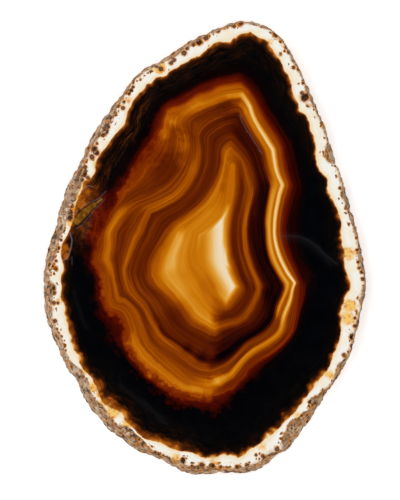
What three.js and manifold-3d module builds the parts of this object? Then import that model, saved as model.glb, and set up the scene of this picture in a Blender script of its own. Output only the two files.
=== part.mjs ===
// Agate slice
// A thin slab sawn across a banded agate nodule and laid flat on its back.
// The origin is under the middle of the slab, on the plane it rests on. +X is the short way,
// +Y the long way towards the pointed end, +Z up through the polished face.
import * as THREE from "three";
import { ImprovedNoise } from "three/addons/math/ImprovedNoise.js";
import Module from "manifold-3d";

const manifold = await Module();
manifold.setup();

// Sizes, in millimetres
const THICKNESS = 6;
const LEAST_SLOPE = 0.3;
const RIM_POINTS = 264;
const RIM_ROWS = 11;

// Rough skin of the rim, in millimetres
const LUMP_SPACING = 5.2;
const LUMP_HEIGHT = 0.95;
const GRAIN_SPACING = 2.1;
const GRAIN_HEIGHT = 0.5;
const ROUNDING = 1.5;

// The back edge is the slab's widest outline. Points run clockwise from the pointed end.
const BACK_EDGE = [
  [9, 57], [14.25, 56.25], [18.5, 53.6], [22, 48.5], [25.25, 42], [27.75, 36], [30.75, 28.75],
  [32.5, 22.75], [35, 15.75], [36.5, 10.25], [38.5, 3.75], [40, -4.5], [40.5, -8.25], [40.4, -11.5],
  [39, -17.25], [37.4, -24], [34.75, -30.5], [31, -35.75], [27.5, -41.5], [24.25, -46],
  [20.75, -50.5], [18, -52.1], [15.75, -54.25], [13, -55.75], [10, -56.5], [6.25, -56.4],
  [2.5, -56.6], [-1.25, -56.9], [-4.25, -56.6], [-7.25, -55.5], [-9.75, -53.9], [-12.25, -52.6],
  [-18, -50.4], [-20, -48.5], [-22.75, -46.9], [-25, -44.75], [-27, -42.25], [-29.25, -39.75],
  [-31.6, -35.25], [-32.25, -33.25], [-34, -31.25], [-37, -25.25], [-39.75, -17.75],
  [-40.4, -13.75], [-40.5, -9.5], [-40.4, -5.5], [-39.25, 0.75], [-37.5, 5.25], [-37, 8.25],
  [-35, 14.5], [-33.75, 17.5], [-32, 20.25], [-29.25, 26.5], [-25.75, 32.25], [-22, 37.25],
  [-18, 42.5], [-16, 44.5], [-13.5, 46], [-10.75, 47.4], [-5.75, 50.9], [-0.5, 53.6], [4.5, 55.75],
];

// The edge of the polished face. The rind slopes from it down and out to the back edge.
const FACE_EDGE = [
  [9.5, 56.5], [13.75, 55.9], [16.5, 54.25], [18.75, 52.75], [20.25, 50.5], [23.75, 44.25],
  [26.25, 37.75], [29, 31.75], [30.25, 28.5], [31, 26.25], [30.1, 24.5], [30.1, 23], [31, 21.6],
  [32.75, 20.75], [33.75, 18.5], [34.4, 15.75], [34.25, 13.25], [35.25, 11.25], [37.25, 5.25],
  [38.25, 1.5], [38.4, -1.25], [40, -7.75], [40.1, -10.25], [39.1, -12], [39, -14.5],
  [37.75, -20.5], [36.25, -26], [34.5, -28.5], [33.25, -29.5], [32.75, -31.75], [31.5, -34.25],
  [29.5, -36], [27.25, -37.75], [26, -40.25], [23.5, -42.25], [21.5, -43.5], [19.5, -47.75],
  [20, -49.75], [18.25, -51], [15.25, -52.25], [13.5, -53.75], [10.25, -54.75], [4, -55.25],
  [-1.25, -54.75], [-4.5, -54.5], [-7.5, -53.1], [-13.75, -50.5], [-15.5, -48.25],
  [-19.5, -44.9], [-21.5, -44.5], [-23.5, -43], [-25.5, -39.5], [-27.5, -38], [-29.75, -33.25],
  [-31, -30.5], [-33, -29.5], [-34.6, -27], [-35.75, -23.5], [-38.4, -17.75], [-38.5, -14],
  [-38, -10.75], [-39, -7.75], [-38.6, -4.5], [-36.75, 0], [-36.75, 2], [-35.5, 4.25],
  [-34, 9.75], [-31.25, 15], [-31, 18], [-30.25, 21.25], [-28.25, 26], [-24.75, 30],
  [-21.5, 36.25], [-17.75, 42], [-15.75, 44], [-10.5, 46.5], [-7.75, 47.75], [-5.25, 49.75],
  [2.25, 54.25], [5.25, 55.25],
];

// Ledges along the rind: where each starts and ends in degrees from +X towards +Y, its height as a
// share of the thickness, and how strongly it steps.
const LEDGES = [
  { from: 98, to: 128, height: 0.62, strength: 0.9 },
  { from: 134, to: 168, height: 0.45, strength: 1 },
  { from: 176, to: 203, height: 0.6, strength: 0.8 },
  { from: 208, to: 238, height: 0.4, strength: 1 },
  { from: 244, to: 276, height: 0.58, strength: 0.9 },
  { from: 296, to: 322, height: 0.5, strength: 0.9 },
  { from: 342, to: 366, height: 0.55, strength: 0.6 },
];

// Dents in the side of the rind: degrees round, height share, width and depth in millimetres.
const DENTS = [
  [12, 0.55, 2.2, 0.6], [25, 0.4, 1.8, 0.5], [37, 0.62, 2.6, 0.8], [52, 0.5, 2, 0.6],
  [64, 0.58, 2.4, 0.7], [77, 0.4, 1.8, 0.5], [92, 0.5, 2, 0.6], [104, 0.35, 1.9, 0.6],
  [117, 0.55, 2.3, 0.9], [127, 0.35, 1.8, 0.7], [139, 0.66, 1.9, 0.8], [147, 0.3, 2.2, 0.7],
  [159, 0.6, 2, 0.9], [171, 0.4, 2.4, 0.9], [183, 0.6, 2, 0.8], [192, 0.35, 2, 0.7],
  [201, 0.6, 2.2, 0.9], [213, 0.4, 1.8, 0.7], [222, 0.6, 2.4, 1], [231, 0.35, 2, 0.8],
  [243, 0.6, 2, 0.8], [253, 0.4, 2.2, 0.8], [262, 0.62, 1.8, 0.7], [271, 0.4, 2, 0.8],
  [281, 0.55, 2.4, 0.8], [293, 0.45, 2, 0.7], [303, 0.6, 2.2, 0.9], [312, 0.4, 1.8, 0.7],
  [321, 0.6, 2, 0.7], [333, 0.45, 2, 0.6], [346, 0.5, 2.2, 0.6],
];

// Open pits at the edge of the polished face: place, length, width and turn in degrees.
const PITS = [
  [25, 37.75, 2.2, 1.5, 60], [-12, 45.9, 1.8, 1.2, 30], [-1.5, 51.6, 1.5, 1.1, 20],
  [17.75, 53.4, 1.4, 1.1, -30], [22.25, 47, 1.3, 1, -60], [-27.5, 24.4, 2, 1.2, 60],
  [-30.1, 19.2, 1.7, 1.2, 75], [-24.9, 29.3, 1.6, 1.1, 50], [-18.6, 39.4, 1.6, 1, 50],
  [-33.7, 8.2, 1.9, 1.2, 80], [-38.1, -9.9, 1.7, 1.2, 95], [-5.6, -53.4, 2, 1.3, 80],
  [1.6, -54.3, 1.5, 1.1, 5], [27, -38.1, 1.9, 1.2, 40], [36.9, -22.2, 1.6, 1.1, 75],
  [-32.2, -30.3, 1.6, 1.1, 130],
];
const PIT_DEPTH = 0.9;

const noise = new ImprovedNoise();

// A closed smooth outline, returned as evenly spaced points.
function smoothOutline(points, count) {
  const knots = points.map(([x, y]) => new THREE.Vector3(x, y, 0));
  const curve = new THREE.CatmullRomCurve3(knots, true, "centripetal");
  return curve.getSpacedPoints(count).slice(0, count);
}

// How far an outline lies from the middle in one direction.
function reach(outline, angle) {
  const dx = Math.cos(angle);
  const dy = Math.sin(angle);
  for (let i = 0; i < outline.length; i += 1) {
    const a = outline[i];
    const b = outline[(i + 1) % outline.length];
    const sideA = dx * a.y - dy * a.x;
    const sideB = dx * b.y - dy * b.x;
    if (sideA * sideB > 0) continue;
    const t = sideA / (sideA - sideB);
    const along = (a.x + (b.x - a.x) * t) * dx + (a.y + (b.y - a.y) * t) * dy;
    if (along > 0) return along;
  }
  throw new Error("the outline doesn't go round the middle");
}

// How strongly the rind steps at one angle, and at what height.
function ledgeAt(degrees) {
  for (const ledge of LEDGES) {
    const middle = (ledge.from + ledge.to) / 2;
    const half = (ledge.to - ledge.from) / 2;
    const away = Math.abs(((degrees - middle + 540) % 360) - 180);
    if (away < half) {
      const weight = THREE.MathUtils.smoothstep(half - away, 0, 5);
      return { height: ledge.height, strength: ledge.strength * weight };
    }
  }
  return { height: 0.5, strength: 0 };
}

// The share of the slope that the rind has come in at one height: 0 at the back, 1 at the face.
function slopeShare(share, ledge) {
  const rounded = share ** ROUNDING;
  const riser = 0.3 * share;
  const tread = 0.7 * THREE.MathUtils.smoothstep(share, ledge.height, ledge.height + 0.16);
  return THREE.MathUtils.lerp(rounded, riser + tread, ledge.strength);
}

// Depth of the dents at one place on the rind.
function dentDepth(degrees, share, radius) {
  let depth = 0;
  for (const [at, height, width, deep] of DENTS) {
    const turn = ((degrees - at + 540) % 360) - 180;
    const across = THREE.MathUtils.degToRad(turn) * radius;
    const up = (share - height) * THICKNESS;
    depth += deep * Math.exp(-4 * (across * across + up * up) / (width * width));
  }
  return depth;
}

// Rind surface: rows of points from the back edge up to the edge of the polished face.
const back = smoothOutline(BACK_EDGE, RIM_POINTS).reverse();
const face = smoothOutline(FACE_EDGE, 4 * RIM_POINTS);
const rows = [];
for (let row = 0; row < RIM_ROWS; row += 1) {
  const share = row / (RIM_ROWS - 1);
  const fade = Math.sin(Math.PI * share) ** 0.8;
  rows.push(back.map((point) => {
    const angle = Math.atan2(point.y, point.x);
    const degrees = THREE.MathUtils.radToDeg(angle);
    const radius = Math.hypot(point.x, point.y);
    const slope = Math.max(radius - reach(face, angle), LEAST_SLOPE);
    const z = share * THICKNESS;
    const lump = noise.noise(point.x / LUMP_SPACING, point.y / LUMP_SPACING, z / LUMP_SPACING);
    const grain = noise.noise(point.x / GRAIN_SPACING, point.y / GRAIN_SPACING, z / GRAIN_SPACING);
    const rough = LUMP_HEIGHT * (0.3 + lump) + GRAIN_HEIGHT * (0.3 + grain);
    const dent = dentDepth(degrees, share, radius);
    const inset = slope * slopeShare(share, ledgeAt(degrees)) + fade * (rough + dent);
    const scale = (radius - Math.max(inset, 0)) / radius;
    return new THREE.Vector3(point.x * scale, point.y * scale, z);
  }));
}

// Slab body: the rind, closed by a flat back and a flat polished face
const corners = rows.flat();
const triangles = [];
for (let row = 0; row < RIM_ROWS - 1; row += 1) {
  for (let i = 0; i < RIM_POINTS; i += 1) {
    const next = (i + 1) % RIM_POINTS;
    const low = row * RIM_POINTS;
    const high = low + RIM_POINTS;
    triangles.push(low + i, low + next, high + next);
    triangles.push(low + i, high + next, high + i);
  }
}
const top = (RIM_ROWS - 1) * RIM_POINTS;
for (const [a, b, c] of THREE.ShapeUtils.triangulateShape(rows[RIM_ROWS - 1], [])) {
  triangles.push(top + a, top + b, top + c);
}
for (const [a, b, c] of THREE.ShapeUtils.triangulateShape(rows[0], [])) {
  triangles.push(c, b, a);
}
let slab = new manifold.Manifold(new manifold.Mesh({
  numProp: 3,
  vertProperties: new Float32Array(corners.flatMap((corner) => corner.toArray())),
  triVerts: new Uint32Array(triangles),
}));

// Pits open to the polished face
for (const [x, y, length, width, turn] of PITS) {
  const pit = manifold.Manifold.sphere(1, 12)
    .scale([length / 2, width / 2, PIT_DEPTH])
    .rotate([0, 0, turn])
    .translate([x, y, THICKNESS]);
  slab = slab.subtract(pit);
}

// Origin under the middle of the slab
const cut = slab.getMesh();
const shape = new THREE.BufferGeometry();
shape.setAttribute("position", new THREE.BufferAttribute(cut.vertProperties, cut.numProp));
shape.setIndex(new THREE.BufferAttribute(cut.triVerts, 1));
shape.computeBoundingBox();
const box = shape.boundingBox;
shape.translate(-(box.min.x + box.max.x) / 2, -(box.min.y + box.max.y) / 2, -box.min.z);
const faceted = shape.toNonIndexed();
faceted.computeVertexNormals();

// Stone: orange, brown and black bands inside a cream rind, polished
const stone = new THREE.MeshStandardMaterial({ color: 0x7a3a12, roughness: 0.32, metalness: 0 });
const slice = new THREE.Mesh(faceted, stone);
slice.name = "agate_slice";

const part = new THREE.Group();
part.name = "dyed_agate_slice";
part.add(slice);

export default part;
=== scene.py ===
# A dyed agate slice, lying flat on its sawn back. Metres, +Z up through the polished face.
import math

import bpy
import bmesh
import numpy as np
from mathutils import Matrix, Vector, kdtree
from mathutils.geometry import delaunay_2d_cdt


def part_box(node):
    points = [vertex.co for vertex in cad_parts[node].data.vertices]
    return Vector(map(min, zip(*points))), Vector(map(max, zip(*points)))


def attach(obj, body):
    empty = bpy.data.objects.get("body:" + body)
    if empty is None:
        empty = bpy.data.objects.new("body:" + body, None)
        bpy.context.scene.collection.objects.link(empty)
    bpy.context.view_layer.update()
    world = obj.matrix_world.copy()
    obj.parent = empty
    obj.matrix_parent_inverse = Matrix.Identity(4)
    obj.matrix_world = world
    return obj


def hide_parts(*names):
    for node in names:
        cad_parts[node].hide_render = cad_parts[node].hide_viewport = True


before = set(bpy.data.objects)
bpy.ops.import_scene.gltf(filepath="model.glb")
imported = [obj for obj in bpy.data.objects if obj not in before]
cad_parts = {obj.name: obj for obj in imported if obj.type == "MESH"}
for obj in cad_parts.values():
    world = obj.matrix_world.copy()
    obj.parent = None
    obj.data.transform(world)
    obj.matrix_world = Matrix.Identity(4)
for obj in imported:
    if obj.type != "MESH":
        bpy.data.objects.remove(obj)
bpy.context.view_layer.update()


# The rind: the rough outer skin of the nodule, left all round the edge of the slab when it was sawn.
# It is weathered chalcedony, lumpy and pitted. The solid's own rim is cut finer here and roughened.
RIM_CUTS = 2
GRAIN_SPACING = 0.0011
GRAIN_HEIGHT = 0.001
RAGGED_SPACING = 0.0022
RAGGED_DEPTH = 0.0019
NOISE_ROUGHNESS = 0.62
LUMP_DETAIL = 3.0
LUMP_LEVEL = 0.62
NOTCH_DETAIL = 2.5
NOTCH_LEVEL = 0.42
FLAT = 1e-5
SAME_POINT = 1e-6

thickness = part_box("agate_slice")[1][2]


def is_cap(face):
    """Whether a face of the solid lies flat on its front or its back."""
    heights = [corner.co.z for corner in face.verts]
    on_top = min(heights) > thickness - FLAT
    on_back = max(heights) < FLAT
    return on_top or on_back


def rim_mesh():
    """The rim and its pits alone, cut finer, with a value that is 0 where it meets a flat face."""
    shell = bmesh.new()
    shell.from_mesh(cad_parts["agate_slice"].data)
    bmesh.ops.remove_doubles(shell, verts=shell.verts, dist=SAME_POINT)
    caps = [face for face in shell.faces if is_cap(face)]
    bmesh.ops.delete(shell, geom=caps, context="FACES")
    bmesh.ops.subdivide_edges(shell, edges=shell.edges, cuts=RIM_CUTS, use_grid_fill=True)
    bmesh.ops.triangulate(shell, faces=shell.faces)
    mesh = bpy.data.meshes.new("rim")
    shell.to_mesh(mesh)
    free = mesh.attributes.new("free", "FLOAT", "POINT")
    for corner in shell.verts:
        free.data[corner.index].value = 0.0 if corner.is_boundary else 1.0
    shell.free()
    return mesh


def calc(tree, operation, first, second=None):
    """One sum of two sockets or numbers."""
    node = tree.nodes.new("ShaderNodeMath")
    node.operation = operation
    for socket, given in zip(node.inputs, (first, second)):
        if isinstance(given, bpy.types.NodeSocket):
            tree.links.new(given, socket)
        elif given is not None:
            socket.default_value = given
    return node.outputs[0]


def plus(tree, first, second):
    return calc(tree, "ADD", first, second)


def minus(tree, first, second):
    return calc(tree, "SUBTRACT", first, second)


def times(tree, first, second):
    return calc(tree, "MULTIPLY", first, second)


def over(tree, first, second):
    return calc(tree, "DIVIDE", first, second)


def rind_relief():
    """A Geometry Nodes tree that roughens a surface along its normals and frays its outline inwards."""
    tree = bpy.data.node_groups.new("rind relief", "GeometryNodeTree")
    interface = tree.interface
    interface.new_socket("Geometry", in_out="INPUT", socket_type="NodeSocketGeometry")
    for name, value in (
        ("Grain Spacing", GRAIN_SPACING),
        ("Grain Height", GRAIN_HEIGHT),
        ("Ragged Spacing", RAGGED_SPACING),
        ("Ragged Depth", RAGGED_DEPTH),
    ):
        interface.new_socket(name, in_out="INPUT", socket_type="NodeSocketFloat").default_value = value
    interface.new_socket("Finish", in_out="INPUT", socket_type="NodeSocketMaterial")
    interface.new_socket("Geometry", in_out="OUTPUT", socket_type="NodeSocketGeometry")
    nodes, links = tree.nodes, tree.links
    given = nodes.new("NodeGroupInput")
    result = nodes.new("NodeGroupOutput")
    place = nodes.new("GeometryNodeInputPosition")
    normal = nodes.new("GeometryNodeInputNormal")
    free = nodes.new("GeometryNodeInputNamedAttribute")
    free.data_type = "FLOAT"
    free.inputs["Name"].default_value = "free"

    def roughness(spacing, detail):
        pattern = nodes.new("ShaderNodeTexNoise")
        pattern.inputs["Detail"].default_value = detail
        pattern.inputs["Roughness"].default_value = NOISE_ROUGHNESS
        links.new(place.outputs[0], pattern.inputs["Vector"])
        links.new(over(tree, 1.0, spacing), pattern.inputs["Scale"])
        return pattern.outputs[0]

    def along(direction, amount):
        scaled = nodes.new("ShaderNodeVectorMath")
        scaled.operation = "SCALE"
        links.new(direction, scaled.inputs[0])
        links.new(amount, scaled.inputs["Scale"])
        return scaled.outputs[0]

    lumps = minus(tree, roughness(given.outputs["Grain Spacing"], LUMP_DETAIL), LUMP_LEVEL)
    height = times(tree, times(tree, lumps, given.outputs["Grain Height"]), free.outputs["Attribute"])
    grain = along(normal.outputs[0], height)
    to_middle = nodes.new("ShaderNodeVectorMath")
    to_middle.operation = "MULTIPLY"
    to_middle.inputs[1].default_value = (-1.0, -1.0, 0.0)
    links.new(place.outputs[0], to_middle.inputs[0])
    inward = nodes.new("ShaderNodeVectorMath")
    inward.operation = "NORMALIZE"
    links.new(to_middle.outputs[0], inward.inputs[0])
    notches = minus(tree, roughness(given.outputs["Ragged Spacing"], NOTCH_DETAIL), NOTCH_LEVEL)
    notches = calc(tree, "MAXIMUM", notches, 0.0)
    fray = along(inward.outputs[0], times(tree, notches, given.outputs["Ragged Depth"]))
    shift = nodes.new("ShaderNodeVectorMath")
    links.new(grain, shift.inputs[0])
    links.new(fray, shift.inputs[1])
    moved = nodes.new("GeometryNodeSetPosition")
    links.new(given.outputs["Geometry"], moved.inputs["Geometry"])
    links.new(shift.outputs[0], moved.inputs["Offset"])
    realized = nodes.new("GeometryNodeRealizeInstances")
    links.new(moved.outputs[0], realized.inputs[0])
    finished = nodes.new("GeometryNodeSetMaterial")
    links.new(realized.outputs[0], finished.inputs["Geometry"])
    links.new(given.outputs["Finish"], finished.inputs["Material"])
    links.new(finished.outputs[0], result.inputs[0])
    return tree


def roughened_rim(skin):
    """The rim after its relief, as plain arrays of vertices and triangles."""
    rough = bpy.data.objects.new("rim", rim_mesh())
    bpy.context.scene.collection.objects.link(rough)
    tree = rind_relief()
    modifier = rough.modifiers.new("relief", "NODES")
    modifier.node_group = tree
    for socket in tree.interface.items_tree:
        if socket.item_type == "SOCKET" and socket.name == "Finish":
            modifier[socket.identifier] = skin
    graph = bpy.context.evaluated_depsgraph_get()
    mesh = bpy.data.meshes.new_from_object(rough.evaluated_get(graph))
    bpy.data.objects.remove(rough)
    corners = np.empty(len(mesh.vertices) * 3)
    mesh.vertices.foreach_get("co", corners)
    triangles = np.empty(len(mesh.polygons) * 3, int)
    mesh.polygons.foreach_get("vertices", triangles)
    corners = corners.reshape(-1, 3)
    corners[:, 2] = corners[:, 2].clip(0, thickness)
    return corners, triangles.reshape(-1, 3)


# The bands: the nodule filled from the outside in, so each band is a closed line inside the last.
# Each line is a chain of rounded stretches that meet at corners, in photo pixels, 4 to a millimetre.
PIXELS_PER_METRE = 4000.0
PHOTO_MIDDLE = (205.05, 247.76)

BAND_LINES = (
    # inner edge of the white rind
    [[(250, 32), (258, 38), (267, 40), (271, 48), (278, 57), (283, 69), (290, 80), (292, 92), (297, 103),
      (299, 111), (306, 117), (311, 130), (315, 145), (317, 163), (321, 172), (327, 179), (328, 190),
      (334, 203), (340, 218), (341, 236), (343, 250), (344, 264), (349, 279), (350, 287), (345, 297),
      (341, 309), (341, 325), (338, 342), (333, 356), (328, 368), (320, 379), (311, 391), (303, 401),
      (295, 412), (282, 425), (272, 434), (260, 442), (250, 449), (240, 457), (223, 455), (210, 458),
      (200, 457), (192, 452), (177, 450), (163, 444), (152, 441), (141, 437), (134, 429), (126, 421),
      (119, 411), (107, 406), (102, 401), (97, 388), (90, 376), (82, 368), (77, 356), (72, 345), (69, 330),
      (65, 313), (65, 305), (61, 297), (62, 288), (61, 277), (64, 266), (61, 255), (62, 244), (68, 234),
      (73, 222), (74, 212), (77, 201), (82, 190), (83, 182), (91, 179), (95, 172), (97, 161), (101, 153),
      (106, 148), (112, 139), (118, 132), (126, 122), (128, 111), (135, 99), (142, 91), (147, 85),
      (152, 83), (157, 77), (165, 76), (173, 70), (183, 64), (193, 58), (202, 54), (208, 48), (218, 42),
      (230, 42), (236, 36), (250, 32)]],
    # black to dark red
    [[(309, 282), (307, 298), (302, 312), (298, 327), (295, 334), (287, 346), (273, 359), (260, 370),
      (248, 382), (237, 393), (228, 404), (218, 413), (202, 411), (188, 406), (172, 401), (160, 393),
      (148, 382), (136, 371), (127, 361), (119, 349), (109, 334), (101, 322), (98, 306), (94, 290),
      (92, 275), (89, 264), (90, 250), (92, 236), (95, 222), (99, 210), (106, 197), (114, 184), (123, 174),
      (131, 160), (138, 148), (146, 137), (152, 125), (157, 112), (166, 102), (180, 95), (193, 87),
      (206, 81), (220, 76), (232, 74), (242, 73), (253, 82), (262, 93), (268, 105), (276, 117), (284, 131),
      (291, 142), (295, 157), (298, 172), (301, 186), (297, 203), (292, 220), (291, 238), (296, 255),
      (303, 270), (309, 282)]],
    # dark red to orange
    [[(241, 82), (250, 90), (256, 98), (261, 108), (268, 121), (277, 134), (283, 147), (285, 158),
      (288, 172), (292, 186)],
     [(292, 186), (288, 200), (285, 213), (283, 230), (285, 243), (290, 257), (296, 270), (300, 282)],
     [(300, 282), (299, 295), (298, 305), (296, 318), (293, 331)],
     [(293, 331), (286, 341), (277, 350), (265, 358), (253, 366), (244, 377), (236, 386), (224, 393),
      (211, 399)],
     [(211, 399), (198, 398), (184, 397), (170, 391), (158, 383), (147, 375), (138, 366), (130, 355),
      (124, 343), (122, 330), (119, 318), (108, 312), (103, 303), (102, 290), (100, 277), (96, 268),
      (91, 262)],
     [(91, 262), (93, 250), (98, 238), (104, 226), (110, 212), (117, 199), (122, 189), (129, 177),
      (134, 165), (141, 154), (149, 144), (157, 133), (163, 120), (168, 109), (180, 106), (190, 101),
      (200, 95), (211, 91), (219, 86), (230, 84), (241, 82)]],
    # the bright line
    [[(242, 94), (225, 97), (207, 103), (194, 108), (184, 115), (180, 123), (185, 133), (187, 146),
      (185, 158), (180, 170), (172, 181), (161, 190), (147, 197), (133, 202), (123, 209), (113, 221),
      (107, 232), (108, 245), (106, 260)],
     [(106, 260), (110, 270), (113, 285), (117, 300), (125, 302), (135, 312), (141, 325), (148, 342),
      (160, 354), (175, 366), (190, 377), (210, 383)],
     [(210, 383), (221, 379), (231, 374)],
     [(231, 374), (241, 361), (253, 350), (267, 342), (279, 332), (284, 316), (290, 301), (293, 288),
      (295, 283)],
     [(295, 283), (286, 271), (278, 253), (274, 235), (275, 215), (278, 198), (282, 185)],
     [(282, 185), (276, 170), (273, 150)],
     [(273, 150), (264, 136), (254, 119), (250, 107)],
     [(250, 107), (242, 94)]],
    # the pale band inside it, before the dark brown
    [[(238, 113), (228, 116), (213, 122), (200, 134), (201, 150), (199, 166), (192, 183), (180, 198),
      (165, 207), (151, 213)],
     [(151, 213), (143, 232), (134, 250), (127, 268), (127, 276)],
     [(127, 276), (134, 293), (146, 306), (153, 320), (163, 335), (180, 347), (197, 360), (210, 364)],
     [(210, 364), (228, 357), (245, 341), (262, 330), (272, 318), (276, 305), (283, 290), (283, 284)],
     [(283, 284), (273, 267), (267, 250), (265, 232), (265, 215), (270, 186)],
     [(270, 186), (264, 166), (260, 150), (251, 136), (243, 122), (238, 113)]],
    # dark brown to the orange heart
    [[(231, 142), (223, 150), (222, 165), (217, 181), (208, 197), (193, 212), (173, 226)],
     [(173, 226), (165, 238), (157, 252), (152, 265), (151, 276)],
     [(151, 276), (156, 284), (164, 292), (172, 301), (180, 311), (188, 322), (195, 327), (203, 331),
      (215, 337)],
     [(215, 337), (222, 333), (230, 329), (240, 326), (250, 320), (257, 310), (261, 300), (263, 287)],
     [(263, 287), (256, 272), (251, 258), (248, 245), (247, 230), (249, 213), (253, 197), (254, 188)],
     [(254, 188), (251, 175), (246, 162), (238, 150), (231, 142)]],
    # the pale lens in the middle
    [[(232, 166), (229.5, 185), (227.5, 207), (214, 224), (199, 236)],
     [(199, 235), (198, 258), (205, 270), (215, 288), (226, 303)],
     [(226, 303), (237, 287)],
     [(237, 287), (229, 270), (225, 250), (224.5, 226), (228, 206), (231, 185), (232, 166)]],
)
LINE_STEP = 0.00005
STEPS_BETWEEN_POINTS = 8


def on_stone(pixels):
    """Photo pixels as metres on the stone."""
    pixels = np.asarray(pixels, float)
    return (pixels - PHOTO_MIDDLE) / PIXELS_PER_METRE * (1.0, -1.0)


def rounded(stretch):
    """A smooth run through a stretch's points, straight out of its ends."""
    points = on_stone(stretch)
    slopes = np.gradient(points, axis=0)
    run = []
    for here, there, leave, arrive in zip(points, points[1:], slopes, slopes[1:]):
        share = np.linspace(0, 1, STEPS_BETWEEN_POINTS, endpoint=False)[:, None]
        squared, cubed = share ** 2, share ** 3
        run.append(
            (2 * cubed - 3 * squared + 1) * here + (cubed - 2 * squared + share) * leave
            + (3 * squared - 2 * cubed) * there + (cubed - squared) * arrive
        )
    return np.vstack(run)


def close_points(line):
    """Points along a closed line, near enough together to measure distance from."""
    ends = np.roll(line, -1, axis=0)
    filled = []
    for start, end in zip(line, ends):
        count = max(1, int(np.hypot(*(end - start)) / LINE_STEP))
        filled.append(start + (end - start) * (np.arange(count) / count)[:, None])
    return np.vstack(filled)


def nearest(points, samples):
    """How far each point lies from the nearest sample."""
    tree = kdtree.KDTree(len(samples))
    for number, (x, y) in enumerate(samples):
        tree.insert((x, y, 0.0), number)
    tree.balance()
    return np.array([tree.find((x, y, 0.0))[2] for x, y in points])


def distances(points, line):
    """How far each point lies from a closed line."""
    return nearest(points, close_points(line))


def within(points, line):
    """Which points are inside a closed line."""
    crossed = np.zeros(len(points), bool)
    x, y = points[:, 0], points[:, 1]
    for (x1, y1), (x2, y2) in zip(line, np.roll(line, -1, axis=0)):
        if y1 != y2:
            crossed ^= ((y1 > y) != (y2 > y)) & (x < (x2 - x1) * (y - y1) / (y2 - y1) + x1)
    return crossed


def band_depth(points, outline):
    """How deep each point lies in the bands: 0 at the face's edge, 1 at the first line, and so on."""
    lines = [outline] + [np.vstack([rounded(stretch) for stretch in line]) for line in BAND_LINES]
    depth = np.zeros(len(points))
    here = np.arange(len(points))
    for number, line in enumerate(lines):
        if number:
            here = here[within(points[here], line)]
        outer = distances(points[here], line)
        if number + 1 < len(lines):
            inner = distances(points[here], lines[number + 1])
            depth[here] = number + outer / (outer + inner + 1e-9)
        else:
            depth[here] = number + outer / outer.max()
    return depth


# The flaws: small open pits in the rind, amber stains where iron crept in, thin milky veils along
# healed cracks, one golden lens of clearer stone, and broad patches that took more or less of the dye.
# (x, y, width), in photo pixels
PITS = (
    (305, 97, 8), (302, 93, 4), (328, 155, 6), (157, 65, 4), (161, 69, 5), (199, 42, 6), (206, 38, 5),
    (184, 53, 5), (187, 48, 4), (174, 60, 4), (171, 63, 4), (218, 31, 4), (224, 27, 4), (241, 23, 5),
    (234, 26, 4), (260, 24, 3), (276, 34, 6), (287, 47, 5), (289, 52, 4), (294, 60, 4), (297, 64, 4),
    (299, 69, 4), (303, 83, 3), (94, 149, 6), (97, 153, 5), (92, 157, 5), (85, 167, 4), (84, 175, 5),
    (88, 178, 4), (82, 180, 4), (108, 127, 4), (103, 135, 4), (123, 108, 4), (129, 94, 3),
    (133, 87, 3), (124, 102, 3), (70, 212, 6), (70, 218, 6), (72, 206, 4), (61, 240, 3), (58, 248, 4),
    (56, 261, 3), (52, 266, 4), (53, 288, 5), (54, 293, 4), (54, 303, 4), (50, 308, 3), (58, 303, 3),
    (55, 321, 4), (58, 333, 3), (75, 372, 3), (183, 460, 4), (182, 466, 4), (202, 465, 5),
    (213, 466, 5), (208, 468, 3), (163, 456, 3), (155, 453, 4), (192, 466, 3), (221, 467, 3),
    (237, 467, 4), (247, 465, 4), (256, 455, 3), (263, 456, 4), (277, 449, 5), (286, 443, 3),
    (310, 402, 4), (316, 399, 5), (338, 370, 4), (344, 355, 4), (352, 337, 5), (352, 346, 4),
    (355, 326, 4), (355, 318, 3), (363, 279, 4), (362, 272, 4), (359, 268, 3), (358, 262, 3),
    (357, 250, 3), (347, 207, 4), (340, 188, 3), (342, 193, 3),
)
PIT_DEPTH = 0.0003
PIT_STEEPNESS = 1.6

# (half width, strength, points along it), in photo pixels
VEILS = (
    (1.3, 0.02, [(276, 236), (290, 236), (300, 237), (308, 240), (315, 245), (325, 255), (337, 264)]),
    (0.7, 0.018, [(303, 238), (312, 243), (320, 247)]),
    (4.0, 0.008, [(282, 236), (300, 238), (313, 245), (330, 262)]),
    (2.6, 0.007, [(120, 386), (131, 394), (148, 408), (164, 421)]),
    (1.0, 0.01, [(143, 400), (150, 407), (155, 414), (159, 421), (167, 424)]),
    (2.2, 0.006, [(74, 292), (76, 301), (80, 310), (82, 319), (87, 328)]),
    (0.4, 0.11, [(240, 115), (242, 122), (246, 129), (252, 138), (258, 147), (262, 154)]),
    (0.5, 0.26, [(70, 233), (72, 240), (71, 248), (69, 254), (66, 259), (62, 260.5)]),
    (0.4, 0.08, [(72, 257), (72, 265)]),
    (0.4, 0.18, [(82, 191.5), (85, 187), (89, 185.5), (93, 187)]),
    (0.35, 0.14, [(71, 222), (75, 214.5), (79, 210), (84, 205.5), (89, 203), (94, 201), (101, 197.5)]),
    (0.35, 0.1, [(76, 228.5), (82, 225), (87, 219), (91, 214.5), (95, 209), (100, 204.5), (105, 198.5)]),
    (0.35, 0.1, [(98, 201), (102, 195), (106, 191)]),
    (1.6, 0.02, [(84, 222), (86, 228), (85, 236)]),
    (1.4, 0.02, [(93, 212), (90, 219), (92, 226)]),
)

GOLDEN_LENS = (
    (3.8, 1.2, [(77, 221), (82, 215.5), (86, 211.5)]),
    (2.6, 1.2, [(85, 212), (90, 208), (94, 205)]),
    (1.2, 1.1, [(93, 205), (98, 202), (102, 199)]),
)

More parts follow.
